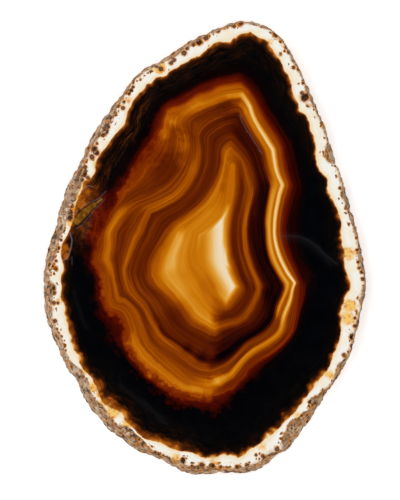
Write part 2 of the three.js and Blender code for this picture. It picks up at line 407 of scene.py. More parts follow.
# (x, y, radius, strength), in photo pixels
STAINS = (
    (160, 68, 7, 0.9), (349, 253, 8, 0.8), (350, 306, 7, 1.1), (348, 318, 7, 1.1), (330, 375, 6, 0.7),
    (104, 402, 6, 0.9), (113, 411, 8, 0.9), (127, 424, 7, 0.8), (84, 371, 5, 0.7), (94, 386, 7, 0.85),
    (100, 395, 5, 0.7), (65, 248, 6, 0.8), (66, 256, 5, 0.8), (73, 209, 6, 1.0), (72, 216, 6, 1.0),
    (71, 223, 5, 0.9), (78, 197, 7, 0.8), (82, 204, 9, 0.8), (87, 192, 9, 0.6), (80, 188, 6, 0.7),
    (96, 190, 6, 0.35), (80, 228, 6, 0.4), (176, 458, 7, 0.6), (215, 461, 8, 0.5), (262, 447, 7, 0.5),
    (297, 415, 7, 0.5), (270, 42, 6, 0.5), (128, 100, 6, 0.5), (97, 165, 6, 0.6), (60, 300, 6, 0.5),
    (74, 340, 6, 0.45),
)

# (x, y, radius, change in lightness), in photo pixels
CLOUDS = (
    (158, 163, 16, -0.05), (172, 122, 7, 0.1), (165, 134, 6, 0.09), (196, 103, 10, 0.06),
    (182, 134, 10, -0.07), (226, 107, 12, -0.05), (90, 196, 16, 0.22), (78, 206, 9, 0.1),
    (94, 216, 12, 0.15), (86, 232, 13, 0.2), (78, 248, 8, 0.08), (66, 250, 6, 0.2),
    (203, 357, 9, -0.12), (188, 349, 7, -0.08), (218, 380, 8, 0.12), (205, 388, 14, 0.07),
    (110, 399, 8, 0.14), (127, 416, 8, 0.14), (99, 384, 6, 0.12),
)


def evenly(line, step):
    """Points this far apart along an open line."""
    line = on_stone(line)
    walked = np.concatenate([[0], np.cumsum(np.hypot(*np.diff(line, axis=0).T))])
    marks = np.arange(0, walked[-1], step)
    return np.column_stack([np.interp(marks, walked, line[:, axis]) for axis in (0, 1)])


def thinned(points, gap):
    """The points, without any that is closer than the gap to one before it."""
    taken, kept = set(), []
    for point in points:
        column, row = (int(round(c / gap)) for c in point)
        if not any((column + i, row + j) in taken for i in (-1, 0, 1) for j in (-1, 0, 1)):
            taken.add((column, row))
            kept.append(point)
    return np.array(kept)


VEIL_STEP = 0.0002
VEIL_ROWS = (0.0, -0.9, 0.9, -1.8, 1.8)
PIT_RINGS = ((0.0, 1), (0.5, 6), (1.0, 12), (1.35, 14))
LEAST_GAP = 0.00009
FAR_FROM_PIT = -3.0
STAIN_STRENGTH = 1.2
STAIN_SPREAD = 0.95


def flaw_points():
    """Points that the front needs along the veils and round the pits, to show them sharply."""
    rows = []
    for half, _, line in VEILS + GOLDEN_LENS:
        run = evenly(line, VEIL_STEP)
        ahead = np.gradient(run, axis=0)
        aside = np.column_stack([-ahead[:, 1], ahead[:, 0]]) / np.hypot(*ahead.T)[:, None]
        for share in VEIL_ROWS:
            rows.append(run + aside * share * half / PIXELS_PER_METRE)
    for x, y, width in PITS:
        for share, count in PIT_RINGS:
            turn = np.linspace(0, 2 * math.pi, count, endpoint=False)
            ring = np.column_stack([np.cos(turn), np.sin(turn)]) * share * width / 2 / PIXELS_PER_METRE
            rows.append(on_stone((x, y)) + ring)
    return thinned(np.vstack(rows), LEAST_GAP)


def pit_nearness(points):
    """1 in the middle of a pit, 0 at its rim, falling to -3 away from it."""
    nearness = np.full(len(points), FAR_FROM_PIT)
    for x, y, width in PITS:
        away = np.hypot(*(points - on_stone((x, y))).T)
        nearness = np.maximum(nearness, 1 - away / (width / 2 / PIXELS_PER_METRE))
    return nearness


def streak_share(points, streaks):
    """How strong the nearest of these streaks is at each point."""
    share = np.zeros(len(points))
    for half, strength, line in streaks:
        run = evenly(line, LINE_STEP)
        spread = half / PIXELS_PER_METRE
        near = np.all((points > run.min(0) - 3 * spread) & (points < run.max(0) + 3 * spread), axis=1)
        away = nearest(points[near], run) / spread
        share[near] = np.maximum(share[near], strength * np.exp(-away ** 2))
    return share


def stain_share(points):
    """How deep the amber stain is at each point."""
    share = np.zeros(len(points))
    for x, y, radius, strength in STAINS:
        away = np.hypot(*(points - on_stone((x, y))).T) * PIXELS_PER_METRE / radius
        share = np.maximum(share, STAIN_STRENGTH * strength * np.exp(-(away / STAIN_SPREAD) ** 2))
    return share


def cloud_change(points):
    """How much lighter or darker the dye took in broad patches."""
    change = np.zeros(len(points))
    for x, y, radius, amount in CLOUDS:
        away = np.hypot(*(points - on_stone((x, y))).T) * PIXELS_PER_METRE / radius
        change += amount * np.clip(1 - away ** 2 / 2, 0, 1) ** 2
    return change


# The slab: one flat piece of stone, sawn twice across the nodule. Its front is polished and its back
# is left as sawn. Its faces are meshed finely enough to carry the bands.
RIND_MESH = 0.00031
BAND_MESH = 0.00045
BACK_MESH = 0.0011
RIND_RING = 0.0056
ROW_SHARE = 0.866
HOLE_REACH = 0.003
CLEAR_OF_WANTED = 0.4
CLEAR_OF_EDGE = 0.5
WELD = 1e-7


def closed_loops(triangles):
    """The open edges of a shell, chained into loops."""
    edges = {(a, b) for t in triangles.tolist() for a, b in ((t[0], t[1]), (t[1], t[2]), (t[2], t[0]))}
    following = {b: a for a, b in edges if (b, a) not in edges}
    loops = []
    while following:
        start, corner = following.popitem()
        loop = [start]
        while corner != start:
            loop.append(corner)
            corner = following.pop(corner)
        loops.append(np.array(loop))
    return loops


def grid(low, high, step):
    """Staggered rows of points over a rectangle."""
    rows = np.arange(low[1], high[1], step * ROW_SHARE)
    places = []
    for number, y in enumerate(rows):
        x = np.arange(low[0] + step * 0.5 * (number % 2), high[0], step)
        places.append(np.column_stack([x, np.full(len(x), y)]))
    return np.vstack(places)


def inner_points(corners, loops, fine, coarse, ring, wanted):
    """Points over a flat face, finer in a ring along its edge, clear of the edge and of its holes."""
    outline = corners[loops[0]][:, :2]
    low, high = outline.min(0), outline.max(0)
    places = []
    for step, in_ring in ((fine, True), (coarse, False)):
        inner = grid(low, high, step)
        if wanted is not None:
            inner = np.vstack([wanted, inner[nearest(inner, wanted) > step * CLEAR_OF_WANTED]])
        inner = inner[within(inner, outline)]
        apart = distances(inner, outline)
        inner = inner[(apart > fine * CLEAR_OF_EDGE) & ((apart < ring) == in_ring)]
        for loop in loops[1:]:
            hole = corners[loop][:, :2]
            inner = inner[~within(inner, hole)]
            near = np.abs(inner - hole.mean(0)).max(1) < HOLE_REACH
            clear = np.ones(len(inner), bool)
            clear[near] = distances(inner[near], hole) > step * CLEAR_OF_EDGE
            inner = inner[clear]
        places.append(inner)
    return np.vstack(places)


def flat_face(corners, loops, fine, coarse, ring, wanted=None):
    """A flat face inside its loops: (its own new points, its triangles, numbered after the loops' own)."""
    outline = corners[loops[0]][:, :2]
    edge = np.vstack([corners[loop][:, :2] for loop in loops])
    inner = inner_points(corners, loops, fine, coarse, ring, wanted)
    numbers = []
    start = 0
    for loop in loops:
        numbers += [(start + i, start + (i + 1) % len(loop)) for i in range(len(loop))]
        start += len(loop)
    points = np.vstack([edge, inner])
    made = delaunay_2d_cdt([Vector(p) for p in points], numbers, [], 1, WELD)
    source = np.array([s[0] if s else -1 for s in made[3]])
    triangles = source[np.array([f for f in made[2] if len(f) == 3])]
    middles = points[triangles].mean(1)
    keep = within(middles, outline)
    for loop in loops[1:]:
        keep &= ~within(middles, corners[loop][:, :2])
    triangles = triangles[keep]
    a, b, c = (points[triangles[:, k]] for k in range(3))
    area = (b - a)[:, 0] * (c - a)[:, 1] - (b - a)[:, 1] * (c - a)[:, 0]
    triangles[area < 0] = triangles[area < 0][:, ::-1]
    return inner, triangles


def radius_round(outline, angle):
    """How far a closed outline lies from the origin at each angle."""
    turned = np.arctan2(outline[:, 1], outline[:, 0])
    order = np.argsort(turned)
    return np.interp(angle, turned[order], np.hypot(*outline[order].T), period=2 * math.pi)


def depth_values(places, front, back, front_edge, back_edge):
    """How deep each point of the front and the back lies in the bands. On the back they are drawn out
    to its wider edge."""
    depth = np.zeros(len(places))
    depth[front] = band_depth(places[front], front_edge)
    flat = places[back]
    angle = np.arctan2(flat[:, 1], flat[:, 0])
    drawn_in = radius_round(front_edge, angle) / radius_round(back_edge, angle)
    depth[back] = band_depth(flat * drawn_in[:, None], front_edge)
    return depth


def streaks_on(places, front, streaks):
    """How strong streaks are on the front alone."""
    share = np.zeros(len(places))
    share[front] = streak_share(places[front], streaks)
    return share


def stone_mesh(skin, polished, sawn):
    """The whole slab as one closed mesh, with the bands' depth and the flaws as values at each point."""
    corners, rim = roughened_rim(skin)
    loops = closed_loops(rim)
    top = sorted((l for l in loops if corners[l[0], 2] > thickness / 2), key=len, reverse=True)
    back = sorted((l for l in loops if corners[l[0], 2] < thickness / 2), key=len, reverse=True)
    front_edge = corners[top[0]][:, :2]
    back_edge = corners[back[0]][:, :2]
    front_points, front = flat_face(corners, top, RIND_MESH, BAND_MESH, RIND_RING, flaw_points())
    back_points, behind = flat_face(corners, back, BACK_MESH, BACK_MESH, RIND_RING)
    front_source = np.concatenate(top + [len(corners) + np.arange(len(front_points))])
    start = len(corners) + len(front_points)
    back_source = np.concatenate(back + [start + np.arange(len(back_points))])
    sunk = PIT_DEPTH * np.clip(pit_nearness(front_points) * PIT_STEEPNESS, 0, 1)
    vertices = np.vstack([
        corners,
        np.column_stack([front_points, thickness - sunk]),
        np.column_stack([back_points, np.zeros(len(back_points))]),
    ])
    triangles = np.vstack([rim, front_source[front], back_source[behind][:, ::-1]])
    mesh = bpy.data.meshes.new("agate_slice_stone")
    mesh.from_pydata(vertices.tolist(), [], triangles.tolist())
    for material in (skin, polished, sawn):
        mesh.materials.append(material)
    finish = np.repeat((0, 1, 2), (len(rim), len(front), len(behind)))
    mesh.polygons.foreach_set("material_index", finish)
    mesh.polygons.foreach_set("use_smooth", finish == 0)

    places = vertices[:, :2]
    for name, values in (
        ("depth", depth_values(places, front_source, back_source, front_edge, back_edge)),
        ("pit", pit_nearness(places)),
        ("veil", streaks_on(places, front_source, VEILS)),
        ("stain", stain_share(places)),
        ("golden", np.minimum(streaks_on(places, front_source, GOLDEN_LENS), 1)),
        ("cloud", cloud_change(places)),
    ):
        mesh.attributes.new(name, "FLOAT", "POINT").data.foreach_set("value", values)
    mesh.validate()
    return mesh


skin = bpy.data.materials.new("rind skin")
polished = bpy.data.materials.new("polished agate")
sawn = bpy.data.materials.new("sawn agate")
stone = bpy.data.objects.new("agate_stone", stone_mesh(skin, polished, sawn))
bpy.context.scene.collection.objects.link(stone)


# The dye: sugar and acid turned the porous bands black, and heat turned the iron in the others red to
# orange. How far each band took it differs from side to side of the stone.
def linear(red, green, blue):
    """A colour as it is seen, 0 to 255, as the shader's own values."""
    parts = [channel / 255 for channel in (red, green, blue)]
    parts = [p / 12.92 if p <= 0.04045 else ((p + 0.055) / 1.055) ** 2.4 for p in parts]
    return tuple(parts) + (1.0,)


RED_COLOURS = (
    (0.0, (1, 1, 4)), (0.05, (15, 1, 1)), (0.1, (40, 3, 0)), (0.15, (62, 6, 0)), (0.2, (81, 12, 0)),
    (0.3, (108, 26, 0)), (0.4, (143, 51, 0)), (0.5, (184, 88, 2)), (0.6, (209, 124, 18)),
    (1.0, (252, 238, 214)),
)
AMBER_COLOURS = (
    (0.0, (2, 1, 4)), (0.05, (17, 2, 2)), (0.1, (41, 4, 1)), (0.2, (77, 18, 0)), (0.3, (104, 34, 0)),
    (0.4, (145, 61, 0)), (0.5, (187, 95, 0)), (0.6, (213, 127, 10)), (0.7, (230, 155, 44)),
    (0.8, (241, 184, 92)), (0.9, (247, 216, 165)), (1.0, (252, 238, 214)),
)
SMOKE_COLOURS = (
    (0.0, (1, 2, 5)), (0.05, (11, 6, 4)), (0.12, (36, 14, 4)), (0.22, (78, 34, 6)),
    (0.35, (140, 68, 12)), (0.5, (204, 118, 32)), (0.68, (238, 176, 88)), (0.85, (249, 220, 166)),
    (1.0, (253, 243, 222)),
)

# Where each side ends, in degrees round the heart of the stone, out in the red and in by the heart,
# and the lightness of its bands as (depth, lightness). The last side ends where the first begins.
SIDES = (
    (47, 67, (
        (1.0, 0.47), (1.05, 0.18), (1.12, 0.05), (1.25, 0.02), (1.4, 0.0), (1.75, 0.0), (1.95, 0.07),
        (2.35, 0.1), (2.6, 0.15), (2.8, 0.2), (3.05, 0.26), (3.27, 0.31), (3.35, 0.4), (3.6, 0.43),
        (3.7, 0.49), (3.8, 0.74), (3.97, 0.93), (4.09, 0.82), (4.16, 0.56), (4.24, 0.48),
        (4.35, 0.58), (4.5, 0.71), (4.62, 0.71), (4.75, 0.6), (4.95, 0.37), (5.05, 0.1), (5.15, 0.06),
        (5.6, 0.09), (5.8, 0.13), (5.93, 0.22), (6.05, 0.46), (6.15, 0.47), (6.26, 0.28), (6.4, 0.33),
        (6.58, 0.22), (6.7, 0.33), (6.87, 0.52), (6.95, 0.75), (7.0, 0.95), (7.5, 0.91), (8.0, 0.82))),
    (84, 85, (
        (1.0, 0.47), (1.07, 0.2), (1.17, 0.06), (1.4, 0.04), (1.7, 0.02), (1.9, 0.03), (2.1, 0.09),
        (2.6, 0.13), (2.85, 0.18), (3.0, 0.27), (3.2, 0.36), (3.4, 0.42), (3.65, 0.46), (3.76, 0.53),
        (3.86, 0.78), (4.0, 0.9), (4.1, 0.82), (4.22, 0.55), (4.4, 0.57), (4.55, 0.52), (4.7, 0.38),
        (4.9, 0.31), (5.03, 0.2), (5.15, 0.14), (5.6, 0.16), (5.78, 0.27), (6.0, 0.32), (6.15, 0.42),
        (6.35, 0.35), (6.6, 0.29), (6.75, 0.38), (6.88, 0.53), (6.97, 0.8), (7.05, 0.95), (7.5, 0.91),
        (8.0, 0.82))),
    (115, 95, (
        (1.0, 0.42), (1.08, 0.2), (1.18, 0.08), (1.5, 0.06), (1.85, 0.03), (2.0, 0.07), (2.15, 0.15),
        (2.35, 0.21), (2.6, 0.25), (2.85, 0.32), (3.0, 0.4), (3.15, 0.47), (3.6, 0.48), (3.8, 0.52),
        (3.98, 0.56), (4.1, 0.51), (4.2, 0.42), (4.32, 0.35), (4.5, 0.31), (4.75, 0.34), (4.93, 0.36),
        (5.05, 0.26), (5.3, 0.31), (5.6, 0.26), (5.9, 0.33), (6.02, 0.42), (6.2, 0.55), (6.4, 0.53),
        (6.97, 0.56), (7.04, 0.62), (7.1, 0.83), (7.35, 0.84), (7.6, 0.89), (8.0, 0.83))),
    (151, 143, (
        (1.0, 0.42), (1.1, 0.2), (1.18, 0.08), (1.3, 0.07), (1.42, 0.13), (1.55, 0.11), (1.75, 0.03),
        (1.95, 0.04), (2.1, 0.09), (2.3, 0.12), (2.5, 0.14), (2.8, 0.2), (3.0, 0.29), (3.12, 0.36),
        (3.3, 0.39), (3.5, 0.34), (3.75, 0.31), (3.97, 0.33), (4.06, 0.4), (4.16, 0.35), (4.27, 0.41),
        (4.38, 0.37), (4.52, 0.43), (4.7, 0.46), (4.83, 0.42), (4.92, 0.47), (5.0, 0.38), (5.07, 0.3),
        (5.3, 0.31), (5.5, 0.27), (5.7, 0.28), (5.9, 0.36), (6.05, 0.48), (6.18, 0.56), (6.42, 0.55),
        (6.52, 0.62), (6.7, 0.58), (6.93, 0.58), (7.0, 0.65), (7.3, 0.69), (7.6, 0.76), (7.85, 0.84),
        (8.0, 0.81))),
    (181, 191, (
        (1.0, 0.46), (1.1, 0.2), (1.25, 0.06), (1.5, 0.03), (1.7, 0.03), (1.95, 0.08), (2.1, 0.15),
        (2.5, 0.15), (2.65, 0.21), (2.85, 0.26), (3.0, 0.28), (3.2, 0.34), (3.5, 0.37), (3.75, 0.45),
        (3.9, 0.5), (4.05, 0.52), (4.2, 0.42), (4.35, 0.33), (4.6, 0.34), (4.72, 0.4), (4.85, 0.45),
        (4.97, 0.42), (5.03, 0.31), (5.3, 0.31), (5.5, 0.29), (5.75, 0.29), (5.95, 0.38), (6.1, 0.48),
        (6.2, 0.58), (6.3, 0.73), (6.4, 0.77), (6.55, 0.66), (6.75, 0.57), (7.0, 0.58), (7.3, 0.6),
        (7.5, 0.63), (7.7, 0.74), (7.9, 0.82), (8.0, 0.82))),
    (222, 222, (
        (1.0, 0.5), (1.05, 0.34), (1.12, 0.14), (1.2, 0.05), (1.35, 0.01), (1.6, 0.0), (1.8, 0.0),
        (1.97, 0.06), (2.15, 0.1), (2.35, 0.14), (2.6, 0.15), (2.75, 0.21), (2.9, 0.29), (3.0, 0.35),
        (3.2, 0.4), (3.4, 0.43), (3.8, 0.42), (4.1, 0.44), (4.2, 0.4), (4.3, 0.33), (4.5, 0.31),
        (4.65, 0.36), (4.77, 0.43), (5.0, 0.41), (5.12, 0.31), (5.37, 0.35), (5.6, 0.31),
        (5.75, 0.32), (5.95, 0.4), (6.1, 0.5), (6.2, 0.63), (6.28, 0.71), (6.4, 0.68), (6.6, 0.59),
        (6.8, 0.56), (7.0, 0.58), (7.2, 0.61), (7.4, 0.69), (7.7, 0.8), (8.0, 0.82))),
    (264, 265, (
        (1.0, 0.5), (1.05, 0.41), (1.11, 0.27), (1.19, 0.12), (1.3, 0.05), (1.5, 0.03), (1.75, 0.0),
        (1.93, 0.01), (2.0, 0.09), (2.3, 0.13), (2.5, 0.17), (2.7, 0.26), (2.85, 0.33), (3.05, 0.35),
        (3.2, 0.42), (3.3, 0.52), (3.4, 0.57), (3.52, 0.55), (3.7, 0.44), (4.1, 0.42), (4.2, 0.35),
        (4.45, 0.35), (4.6, 0.41), (4.9, 0.43), (5.0, 0.36), (5.08, 0.2), (5.2, 0.25), (5.33, 0.31),
        (5.5, 0.26), (5.7, 0.24), (5.9, 0.31), (6.08, 0.43), (6.2, 0.56), (6.3, 0.68), (6.45, 0.62),
        (6.7, 0.54), (6.9, 0.53), (7.05, 0.55), (7.3, 0.6), (7.5, 0.68), (7.65, 0.8), (8.0, 0.82))),
    (315, 315, (
        (1.0, 0.47), (1.05, 0.24), (1.12, 0.07), (1.22, 0.03), (1.45, 0.01), (1.85, 0.0), (2.0, 0.04),
        (2.12, 0.1), (2.4, 0.14), (2.65, 0.17), (2.8, 0.22), (3.0, 0.33), (3.1, 0.36), (3.3, 0.31),
        (3.5, 0.33), (3.62, 0.4), (3.75, 0.48), (3.9, 0.58), (4.0, 0.63), (4.1, 0.52), (4.2, 0.36),
        (4.35, 0.33), (4.55, 0.38), (4.7, 0.33), (4.83, 0.2), (4.95, 0.1), (5.05, 0.03), (5.25, 0.04),
        (5.38, 0.1), (5.7, 0.15), (6.0, 0.22), (6.08, 0.33), (6.18, 0.43), (6.3, 0.38), (6.45, 0.24),
        (6.6, 0.27), (6.75, 0.36), (6.9, 0.5), (7.0, 0.68), (7.1, 0.78), (7.25, 0.87), (7.6, 0.84),
        (8.0, 0.8))),
    (346, 329, (
        (1.0, 0.45), (1.05, 0.18), (1.11, 0.04), (1.25, 0.02), (1.4, 0.0), (1.85, 0.0), (2.0, 0.04),
        (2.2, 0.05), (2.35, 0.17), (2.45, 0.22), (2.7, 0.26), (2.9, 0.23), (3.05, 0.32), (3.2, 0.35),
        (3.4, 0.33), (3.6, 0.35), (3.72, 0.44), (3.85, 0.6), (3.98, 0.8), (4.05, 0.83), (4.15, 0.62),
        (4.27, 0.44), (4.4, 0.46), (4.5, 0.51), (4.62, 0.66), (4.75, 0.56), (4.85, 0.37),
        (4.97, 0.24), (5.05, 0.08), (5.2, 0.02), (5.5, 0.06), (5.8, 0.08), (5.95, 0.15), (6.02, 0.3),
        (6.12, 0.45), (6.22, 0.4), (6.33, 0.24), (6.42, 0.3), (6.62, 0.19), (6.75, 0.36),
        (6.85, 0.45), (6.93, 0.62), (7.0, 0.85), (7.1, 0.93), (7.5, 0.91), (8.0, 0.82))),
)
RIND_LIGHTNESS = ((0.0, 1.0), (0.9, 0.97), (0.95, 0.85))
SIDE_BLEND = 6.0
BAND_COUNT = 8
HEART = (222, 262)


def ramp(nodes, stops, kind="LINEAR"):
    """A colour ramp with these (position, colour) stops."""
    made = nodes.new("ShaderNodeValToRGB")
    made.color_ramp.interpolation = kind
    made.color_ramp.elements.remove(made.color_ramp.elements[1])
    made.color_ramp.elements[0].position = stops[0][0]
    made.color_ramp.elements[0].color = stops[0][1]
    for position, colour in stops[1:]:
        made.color_ramp.elements.new(position).color = colour
    return made


def grey(value):
    return (value, value, value, 1.0)


def between(tree, value, start, end, low=0.0, high=1.0):
    """low before start, high after end, and an easy rise in between."""
    node = tree.nodes.new("ShaderNodeMapRange")
    node.interpolation_type = "SMOOTHSTEP"
    tree.links.new(value, node.inputs["Value"])
    for name, number in (("From Min", start), ("From Max", end), ("To Min", low), ("To Max", high)):
        node.inputs[name].default_value = number
    return node.outputs[0]


def mottle(tree, place, spacing, detail=3.0, roughness=0.55, distortion=0.0):
    """Noise round zero, from about -0.5 to 0.5, with lumps this far apart."""
    node = tree.nodes.new("ShaderNodeTexNoise")
    node.inputs["Scale"].default_value = 1 / spacing
    node.inputs["Detail"].default_value = detail
    node.inputs["Roughness"].default_value = roughness
    node.inputs["Distortion"].default_value = distortion
    tree.links.new(place, node.inputs["Vector"])
    return minus(tree, node.outputs[0], 0.5)


def blend(tree, share, first, second, kind="MIX"):
    """A mix of two colours, as sockets or plain colours."""
    node = tree.nodes.new("ShaderNodeMix")
    node.data_type = "RGBA"
    node.blend_type = kind
    for name, given in (("Factor_Float", share), ("A_Color", first), ("B_Color", second)):
        socket = next(s for s in node.inputs if s.identifier == name)
        if isinstance(given, bpy.types.NodeSocket):
            tree.links.new(given, socket)
        else:
            socket.default_value = given
    return next(s for s in node.outputs if s.identifier == "Result_Color")


def shade(tree, value, stops):
    """A ramp of these (position, colour) stops, read at a value."""
    node = ramp(tree.nodes, stops)
    tree.links.new(value, node.inputs[0])
    return node.outputs[0]


def tinted(tree, value, colours):
    """A ramp of these (position, seen colour) stops, read at a value."""
    return shade(tree, value, [(position, linear(*colour)) for position, colour in colours])


def side_lightness(tree, depth, stops):
    """How light the bands are on one side: two ramps, for the outer and the inner half of the bands."""
    half = BAND_COUNT / 2
    middle = float(np.interp(half, *zip(*stops)))
    outer = [(d / half, grey(v)) for d, v in stops if d < half] + [(1.0, grey(middle))]
    inner = [(0.0, grey(middle))] + [((d - half) / half, grey(v)) for d, v in stops if d > half]
    outside = shade(tree, over(tree, depth, half), outer)
    inside = shade(tree, minus(tree, over(tree, depth, half), 1.0), inner)
    return blend(tree, calc(tree, "GREATER_THAN", depth, half), outside, inside)


def lobes(tree, place, spacing):
    """Rounded growths side by side: about 0.5 in the middle of each, and below 0 between them."""
    cells = tree.nodes.new("ShaderNodeTexVoronoi")
    cells.inputs["Scale"].default_value = 1 / spacing
    tree.links.new(place, cells.inputs["Vector"])
    return minus(tree, 0.5, cells.outputs["Distance"])


def shifted(tree, place, spacing, amount):
    """The same place, pushed about so that a pattern read there comes out irregular."""
    noise = tree.nodes.new("ShaderNodeTexNoise")
    noise.inputs["Scale"].default_value = 1 / spacing
    noise.inputs["Detail"].default_value = 3.0
    tree.links.new(place, noise.inputs["Vector"])
    centred = tree.nodes.new("ShaderNodeVectorMath")
    centred.operation = "SUBTRACT"
    centred.inputs[1].default_value = (0.5, 0.5, 0.5)
    tree.links.new(noise.outputs["Color"], centred.inputs[0])
    push = tree.nodes.new("ShaderNodeVectorMath")
    push.operation = "MULTIPLY_ADD"
    push.inputs[1].default_value = (amount, amount, amount)
    tree.links.new(centred.outputs[0], push.inputs[0])
    tree.links.new(place, push.inputs[2])
    return push.outputs[0]


def rust_spots(name, dimensions):
    """Shader nodes for rust spots: brown rings with a paler middle and a golden halo."""
    tree = bpy.data.node_groups.new(name, "ShaderNodeTree")
    for socket, kind in (("Place", "Vector"), ("Per Metre", "Float"), ("Share", "Float")):
        tree.interface.new_socket(socket, in_out="INPUT", socket_type="NodeSocket" + kind)
    for socket in ("Ring", "Halo"):
        tree.interface.new_socket(socket, in_out="OUTPUT", socket_type="NodeSocketFloat")
    given = tree.nodes.new("NodeGroupInput")
    result = tree.nodes.new("NodeGroupOutput")
    cells = tree.nodes.new("ShaderNodeTexVoronoi")
    cells.voronoi_dimensions = dimensions
    tree.links.new(shifted(tree, given.outputs["Place"], 0.0007, 0.0009), cells.inputs["Vector"])
    tree.links.new(given.outputs["Per Metre"], cells.inputs["Scale"])
    chance = tree.nodes.new("ShaderNodeSeparateColor")
    tree.links.new(cells.outputs["Color"], chance.inputs[0])
    there = calc(tree, "LESS_THAN", chance.outputs[0], given.outputs["Share"])
    radius = plus(tree, times(tree, chance.outputs[1], 0.26), 0.16)
    away = over(tree, cells.outputs["Distance"], radius)
    middle = between(tree, away, 0.15, 0.55, 0.15, 0.0)
    ring = minus(tree, between(tree, away, 0.8, 1.1, 1.0, 0.0), middle)
    halo = between(tree, away, 0.9, 1.9, 1.0, 0.0)
    tree.links.new(times(tree, ring, there), result.inputs["Ring"])
    tree.links.new(times(tree, halo, there), result.inputs["Halo"])
    return tree


def spotted(tree, spots, place, spacing, share, colour):
    """A colour with rust spots on it."""
    group = tree.nodes.new("ShaderNodeGroup")
    group.node_tree = spots
    tree.links.new(place, group.inputs["Place"])
    group.inputs["Per Metre"].default_value = 1 / spacing
    if isinstance(share, bpy.types.NodeSocket):
        tree.links.new(share, group.inputs["Share"])
    else:
        group.inputs["Share"].default_value = share
    golden = blend(tree, times(tree, group.outputs["Halo"], 0.9), colour, linear(222, 140, 34))
    return blend(tree, times(tree, group.outputs["Ring"], 0.96), golden, linear(104, 50, 0))


# Where the stone is knobbly and where its rind is clouded: degrees round the heart at which it starts,
# is full, starts to end and has ended. Then the depths that each kind of swelling reaches.
KNOBBLY = (80, 160, 245, 320)
CLOUDED = (165, 215, 285, 320)
RIND_LOBES = ((0, 0.0), (0.7, 0.3), (0.95, 1.0), (1.1, 0.6), (1.25, 0.0))
RED_LOBES = ((1.6, 0.0), (1.95, 1.0), (2.9, 1.0), (3.4, 0.15), (4.0, 0.0))
SOFT_EDGES = (
    (0, 0.0), (0.8, 0.1), (1.05, 0.4), (1.3, 0.6), (1.7, 1.0), (2.3, 1.0), (2.9, 0.7), (3.4, 0.15),
    (8, 0.08),
)
RIND_CLOUDS = ((0, 0.0), (0.75, 0.0), (1.0, 1.0), (1.3, 1.0), (1.6, 0.0))


def sector(tree, round_it, starts, full, ending, ended):
    """1 within a sector of the stone, fading to 0 at both its sides."""
    return minus(tree, between(tree, round_it, starts, full), between(tree, round_it, ending, ended))


def zone(tree, depth, stops):
    """A value that follows the depth, from (depth, value) stops."""
    return shade(tree, over(tree, depth, BAND_COUNT), [(d / BAND_COUNT, grey(v)) for d, v in stops])


def wavering_depth(tree, depth, place, round_it):
    """The depth with lines that waver a little. The rind swells into the black in small lobes, and on
    the left the red swells out into the black in bigger ones."""
    wave = times(tree, mottle(tree, place, 0.0045, 2.0), 0.08)
    rind_lobes = times(tree, lobes(tree, shifted(tree, place, 0.002, 0.0018), 0.0021), -0.17)
    rind_lobes = times(tree, rind_lobes, zone(tree, depth, RIND_LOBES))
    big = lobes(tree, shifted(tree, place, 0.0025, 0.002), 0.0026)
    small = lobes(tree, shifted(tree, place, 0.001, 0.0006), 0.0011)
    knobbly = times(tree, sector(tree, round_it, *KNOBBLY), 0.62)
    red_lobes = times(tree, plus(tree, big, times(tree, small, 0.5)), knobbly)
    red_lobes = times(tree, red_lobes, zone(tree, depth, RED_LOBES))
    soft = times(tree, mottle(tree, place, 0.0015, 4.0, 0.6), 0.22)
    soft = times(tree, soft, zone(tree, depth, SOFT_EDGES))
    below = times(tree, sector(tree, round_it, *CLOUDED), 0.34)
    clouded = times(tree, mottle(tree, place, 0.0042, 2.5, 0.5), below)
    clouded = times(tree, clouded, zone(tree, depth, RIND_CLOUDS))
    soft = plus(tree, soft, clouded)
    wavered = plus(tree, plus(tree, depth, wave), plus(tree, rind_lobes, red_lobes))
    return calc(tree, "MAXIMUM", plus(tree, wavered, soft), 0.0)


def dyed_lightness(tree, depth, place, round_it):
    """How light the bands are all round: each side of the stone took the dye in its own way."""
    towards = plus(tree, round_it, times(tree, mottle(tree, place, 0.005), 14.0))
    sides = [side_lightness(tree, depth, RIND_LIGHTNESS + stops) for _, _, stops in SIDES]
    inwards = between(tree, depth, 2.7, 6.3)
    widening = between(tree, depth, 6.1, 7.0, 1.0, 2.6)
    lightness = sides[0]
    for number, (outer_end, inner_end, _) in enumerate(SIDES):
        end = plus(tree, times(tree, inwards, float(inner_end - outer_end)), float(outer_end))
        past = over(tree, minus(tree, towards, end), widening)
        share = between(tree, past, -SIDE_BLEND, SIDE_BLEND)
        lightness = blend(tree, share, lightness, sides[(number + 1) % len(SIDES)])
    return lightness


def with_heart(tree, lightness, depth, across, along):
    """The lightness with the pale lens at the heart, which is brightest along its right side and
    dims towards its upper tip. Across and along are metres from the heart."""
    lean = between(tree, along, -0.01025, 0.00175, 0.0045, 0.0)
    across_heart = between(tree, minus(tree, across, lean), -0.0055, -0.0004, 0.58, 0.95)
    tip = between(tree, along, 0.0112, 0.0152, 0.0, 0.42)
    brightest = minus(tree, between(tree, depth, 6.75, 6.9, 2.0, 0.95), tip)
    in_heart = between(tree, depth, 7.02, 7.25)
    around = times(tree, lightness, minus(tree, 1.0, in_heart))
    lightness = plus(tree, around, times(tree, across_heart, in_heart))
    return calc(tree, "MINIMUM", lightness, brightest)


def layers(tree, depth, axes, per_band, spread, detail):
    """Layers that follow the bands, this many to a band, and change along them over this distance."""
    line = tree.nodes.new("ShaderNodeCombineXYZ")
    tree.links.new(times(tree, depth, per_band), line.inputs[0])
    tree.links.new(over(tree, axes.outputs[0], spread), line.inputs[1])
    tree.links.new(over(tree, axes.outputs[1], spread), line.inputs[2])
    return mottle(tree, line.outputs[0], 1.0, detail, 0.6)


